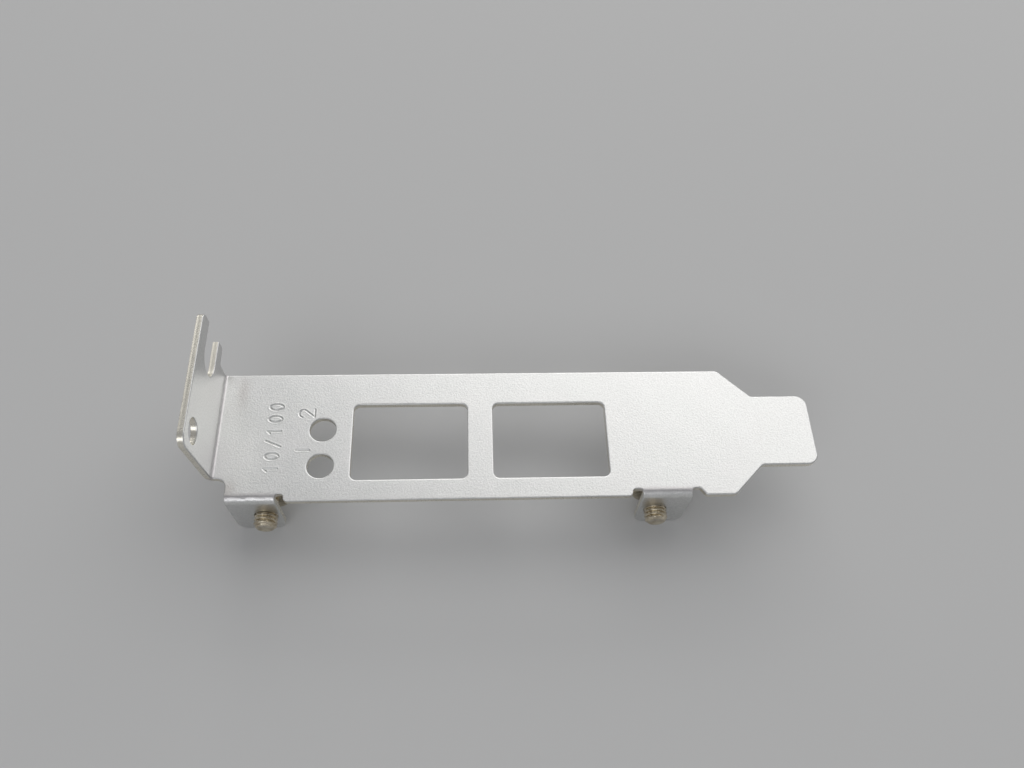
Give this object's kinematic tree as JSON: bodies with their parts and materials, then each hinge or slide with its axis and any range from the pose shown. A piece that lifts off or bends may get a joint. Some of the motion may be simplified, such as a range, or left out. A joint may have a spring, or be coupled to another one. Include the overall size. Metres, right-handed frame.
{
  "type": "low-profile expansion slot cover bracket",
  "caption": "Low-profile expansion-slot bracket: folded steel plate with two connector windows, indicator holes, a notched screw flange, and card tabs holding small screws.",
  "frame": {"origin": "corner where the flange's seating face meets the plate's outer face, on the plate's centre line", "axes": "+X from the flange's seating face to the tongue, +Y across the plate towards the ear, +Z out of the plate's outer face"},
  "size_m": [0.0792, 0.0227, 0.0203],
  "materials": {
    "plated_sheet": "satin zinc-plated steel sheet, fine stipple",
    "screw_steel": "bright nickel-plated steel"
  },
  "bodies": {
    "root": {"bracket": "plated_sheet", "tab_screws": "screw_steel"}
  },
  "joints": []
}
